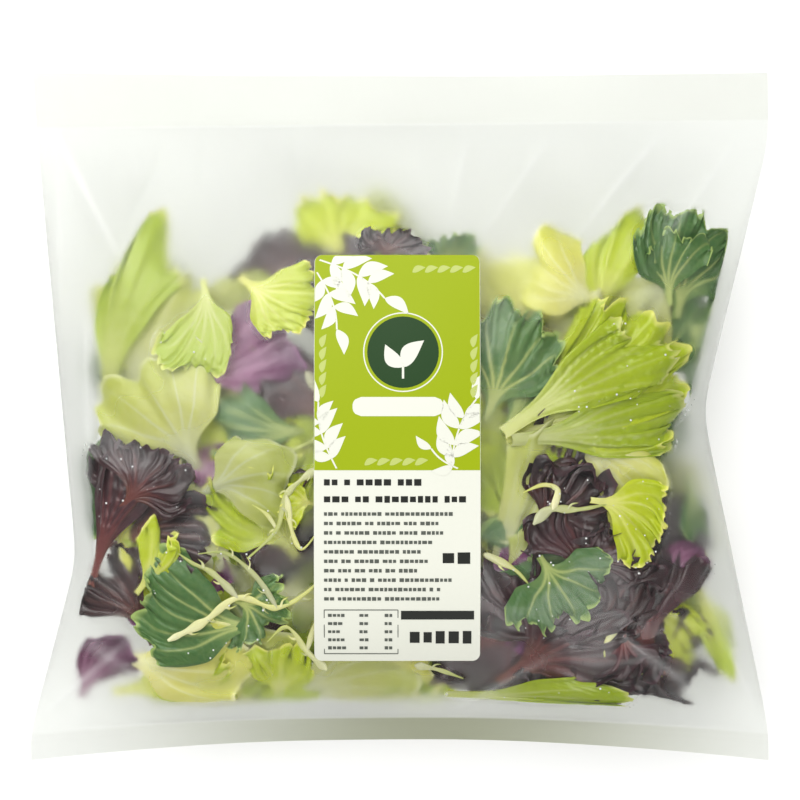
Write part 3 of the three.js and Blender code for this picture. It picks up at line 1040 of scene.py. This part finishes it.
def label_sheet(x, y, low, high):
    """A closed thin sheet over a grid of points on the label, x and y from its middle"""
    at_x = LABEL_X + x
    at_y = LABEL_Y + y
    base = front_map.at(at_x, at_y)
    top, bottom = (np.stack([at_x, at_y, base + lift], axis=2) for lift in (high, low))
    bare = np.zeros(top.shape)
    return closed_sheet(top, bottom, (bare, bare), np.stack([x / 10, y / 10], axis=2))


def label_half_width(y):
    into = np.maximum(0, np.abs(y) - (LABEL_LENGTH / 2 - LABEL_CORNER))
    return LABEL_WIDTH / 2 - LABEL_CORNER + np.sqrt(np.maximum(0, LABEL_CORNER**2 - into**2))


def label_rows(low, high):
    """Rows between two heights of the label, closer together round its corners"""
    half = LABEL_LENGTH / 2
    corner = LABEL_CORNER * (1 - np.cos(np.linspace(0, np.pi / 2, 9)))
    between = np.arange(-half + LABEL_CORNER, half - LABEL_CORNER, 2.0)
    rows = np.concatenate([corner - half, between, half - corner])
    rows = rows[(rows > low) & (rows < high)]
    return np.unique(np.concatenate([[low], rows, [high]]))


def label_area(low, high, bottom, top, margin=0.0):
    y = label_rows(low, high)[:, None]
    x = np.linspace(-1, 1, 34)[None, :] * (label_half_width(y) - margin)
    return label_sheet(x, y + 0 * x, bottom, top)


def bar(x, y, width, height, corner=0.0):
    """A grid over a level bar from its middle, with round ends if it has a corner"""
    rows = np.linspace(-1, 1, 9 if corner else 3)[:, None]
    y_off = rows * height / 2
    into = np.maximum(0, np.abs(y_off) - height / 2 + corner)
    cut = corner - np.sqrt(np.maximum(0, corner**2 - into**2))
    columns = np.linspace(-1, 1, max(3, int(width / 2) + 2))[None, :]
    return x + columns * (width / 2 - cut), y + y_off + 0 * columns


def petal(x, y, heading, length, width):
    """A grid over a pointed leaf shape from its base"""
    a = np.linspace(0.0, 1, 13)[:, None]
    half = width / 2 * np.sin(np.pi * a**0.8) + 0.02
    v = np.linspace(-1, 1, 4)[None, :]
    bend = 0.12 * length * np.sin(np.pi * a)
    px = length * a + 0 * v
    py = half * v + bend
    angle = math.radians(heading)
    return x + px * math.cos(angle) - py * math.sin(angle), y + px * math.sin(angle) + py * math.cos(angle)


def disc(x, y, radius):
    a = np.linspace(-np.pi / 2, np.pi / 2, 25)[:, None]
    half = np.maximum(radius * np.cos(a), 0.03)
    v = np.linspace(-1, 1, 10)[None, :]
    return x + half * v, y + radius * np.sin(a) + 0 * v


def ring(x, y, radius, width):
    a = np.linspace(0, 2 * np.pi, 61)[:, None]
    r = radius + width / 2 * np.linspace(-1, 1, 2)[None, :]
    return x + r * np.cos(a), y + r * np.sin(a)


def sprig(x, y, heading, length, petals, size):
    """A bending stem with pairs of leaves and one at the tip"""
    shapes = []
    angle = math.radians(heading)
    stem = np.linspace(0, 1, 14)
    bend = 0.16 * length * np.sin(stem * 2.2)
    sx = x + stem * length * math.cos(angle) - bend * math.sin(angle)
    sy = y + stem * length * math.sin(angle) + bend * math.cos(angle)
    for i in range(petals):
        at = int(2 + i * 10 / petals)
        grown = size * (0.75 + 0.35 * math.sin(math.pi * (i + 1) / (petals + 1)))
        for side in (-1, 1):
            shapes.append(petal(sx[at], sy[at], heading + side * 48 + 8, grown, grown * 0.42))
    shapes.append(petal(sx[-1], sy[-1], heading + 4, size, size * 0.42))
    across = np.linspace(-1, 1, 2)[None, :] * 0.35
    shapes.append((sx[:, None] - across * math.sin(angle), sy[:, None] + across * math.cos(angle)))
    return shapes


def blocks(rng, y, left, right, height, widths):
    """A line of print as a row of small blocks, with gaps between groups of them"""
    shapes = []
    x = left
    while x < right - widths[0]:
        width = min(rng.uniform(*widths), right - x)
        shapes.append(bar(x + width / 2, y, width, height * rng.uniform(0.8, 1.0)))
        x += width + height * rng.choice([0.3, 1.0], p=[0.85, 0.15])
    return shapes


def leaf_row(x, y, step_x, step_y, heading):
    return [petal(x + i * step_x, y + i * step_y, heading, 5.6, 2.5) for i in range(5)]


def frame_lines(left, right, low, high, width):
    """The four sides of a thin frame"""
    middle_x = (left + right) / 2
    middle_y = (low + high) / 2
    level = [bar(middle_x, y, right - left, width) for y in (low, high)]
    return level + [bar(x, middle_y, width, high - low) for x in (left, right)]


def print_shapes():
    """The label's print: (ink, level, shapes)"""
    rng = np.random.default_rng(11)
    sprigs = sprig(-31, 79, -38, 30, 4, 11.5) + sprig(-32, 74, -78, 24, 3, 10.5)
    sprigs += sprig(-24, -4, 98, 27, 4, 11) + sprig(21, -4, 62, 29, 4, 12) + sprig(24, -4, 136, 13, 1, 8)
    badge_x, badge_y = 2.3, 42.1
    rows = leaf_row(6, 74, 5, 0, 20) + leaf_row(-30, 24, 0, 5, 70) + leaf_row(30, 24, 0, 5, 70)
    rows += leaf_row(-13, -2.6, 5, 0, 20)
    sprout = [
        petal(badge_x, badge_y - 6, 128, 11.5, 5.8),
        petal(badge_x, badge_y - 6, 52, 13.5, 6.6),
        bar(badge_x, badge_y - 8, 0.9, 5.0),
    ]
    heading = blocks(rng, -9.5, -29, 12, 2.7, (2.2, 3.0)) + blocks(rng, -16.2, -29, 29, 2.7, (2.0, 3.0))
    heading += blocks(rng, -39.5, 18, 29, 4.6, (4.4, 5.0)) + blocks(rng, -71.3, 5, 29.5, 5.2, (3.2, 4.8))
    fine = []
    for row in range(10):
        right = rng.uniform(9, 15) if 3 < row < 7 else rng.uniform(12, 28)
        fine += blocks(rng, -22 - row * 3.75, -29, right, 1.5, (1.1, 1.9))
    table = frame_lines(-29, 0.3, -78, -60.2, 0.35)
    for row in range(5):
        y = -62.4 - row * 3.3
        table += blocks(rng, y, -27.5, rng.uniform(-22, -18), 1.3, (1.1, 1.8))
        table += blocks(rng, y, -15, -11, 1.3, (1.1, 1.8)) + blocks(rng, y, -5, -2, 1.3, (1.1, 1.8))
    return [
        ("white", 2, sprigs + [bar(0.3, 20.5, 36, 7.6, 3.4), ring(badge_x, badge_y, 15.6, 0.5)]),
        ("tint", 2, rows), ("deep", 2, [disc(badge_x, badge_y, 14.2)]), ("white", 3, sprout),
        ("grey", 2, fine + table), ("black", 2, heading + [bar(16, -62.3, 29, 3.5)]),
    ]


def make_label():
    stock = label_area(-LABEL_LENGTH / 2, LABEL_LENGTH / 2, LABEL_LIFT, LABEL_LIFT + LABEL_THICK)
    plain = paper_material("label_stock", INKS["white"], 0.42, 0.02)
    sheet = make_object("label_sheet", [stock], [plain], "paper", sharp=LABEL_SHARP)
    top = LABEL_LIFT + LABEL_THICK
    field = label_area(FIELD_EDGE, LABEL_LENGTH / 2, top + 0.01, top + PRINT_THICK, 0.15)
    inks = list(INKS)
    parts = [field]
    slots = [inks.index("lime")]
    for ink, level, shapes in print_shapes():
        for x, y in shapes:
            low = top + PRINT_THICK * (level - 1) + 0.01
            inside = np.clip(x, -label_half_width(y) + 0.3, label_half_width(y) - 0.3)
            parts.append(label_sheet(inside, np.clip(y, -80.6, 80.6), low, low + PRINT_THICK))
            slots.append(inks.index(ink))
    materials = [paper_material("print_" + ink, colour, 0.4) for ink, colour in INKS.items()]
    printed = make_object("label_print", parts, materials, "paper", slots, LABEL_SHARP)
    return [sheet, printed]


# Floor, light and camera

FLOOR_REACH = 4.0
FLOOR_Z = -0.0004


def make_stage():
    floor_mesh = bpy.data.meshes.new("floor")
    ways = ((-1, -1), (1, -1), (1, 1), (-1, 1))
    corners = [(x * FLOOR_REACH, y * FLOOR_REACH, FLOOR_Z) for x, y in ways]
    floor_mesh.from_pydata(corners, [], [(0, 1, 2, 3)])
    floor = bpy.data.objects.new("floor", floor_mesh)
    scene.collection.objects.link(floor)
    made = Material("floor_white")
    paint = made.surface({
        "Base Color": (0.6, 0.6, 0.595, 1),
        "Roughness": 0.8,
        "Emission Color": (1.0, 1.0, 0.99, 1),
        "Emission Strength": 0.41,
    })
    floor_mesh.materials.append(made.finish(paint))
    world = bpy.data.worlds.new("studio")
    scene.world = world
    world.use_nodes = True
    sky = world.node_tree.nodes["Background"]
    sky.inputs["Color"].default_value = (1.0, 1.0, 1.0, 1)
    sky.inputs["Strength"].default_value = 0.4


def add_lamp(name, place, size, power):
    lamp = bpy.data.lights.new(name, "AREA")
    lamp.shape = "DISK"
    lamp.size = size
    lamp.energy = power
    holder = bpy.data.objects.new(name, lamp)
    holder.location = place
    holder.rotation_euler = holder.location.to_track_quat("Z", "Y").to_euler()
    scene.collection.objects.link(holder)


def make_camera():
    lens = bpy.data.cameras.new("camera")
    lens.sensor_width = 36.0
    lens.lens = lens.sensor_width * CAMERA_HEIGHT / VIEW_WIDTH
    lens.clip_end = 20.0
    camera = bpy.data.objects.new("camera", lens)
    camera.location = (0, VIEW_Y * MM, (VIEW_Z + CAMERA_HEIGHT) * MM)
    scene.collection.objects.link(camera)
    scene.camera = camera


def hand_over(piece, slot, *nodes):
    """Says what a finished piece rides on and replaces; slot, which names what it takes its finish from, is
    not used
    """
    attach(piece, "root")
    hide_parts(*nodes)


make_camera()
make_stage()
add_lamp("key", (-0.6, 0.85, 1.2), 1.9, 30)
add_lamp("fill", (0.55, -0.9, 1.2), 1.2, 9)
scene.view_settings.view_transform = "Standard"
scene.cycles.max_bounces = 8
scene.cycles.diffuse_bounces = 3
scene.cycles.glossy_bounces = 2
scene.cycles.transmission_bounces = 7
scene.cycles.transparent_max_bounces = 24

leaves = leaf_parts()
frisee = frisee_parts()
for name, parts in leaves.items():
    piece = make_object(name, parts, [leaf_material(name, KINDS[name].look)], "leaf")
    hand_over(piece, KINDS[name].slot, "bag")
piece = make_object("frisee", frisee, [leaf_material("frisee", FRISEE_LOOK)], "leaf")
hand_over(piece, "leaf_pale", "bag")

film = film_material()
everything = list(leaves.values()) + [frisee]
drops = make_object("moisture", drop_parts(gap_map(everything, True)), [glint_drop_material()], "leaf")
hand_over(drops, "film", "bag")
for name, front, columns, rows, seed in FILMS:
    part = film_part(front, gap_map(everything, front), columns, rows, seed)
    piece = make_object(name, [part], [film], "film")
    hand_over(piece, "film", "bag")

for piece in make_label():
    hand_over(piece, "label_stock", "label")
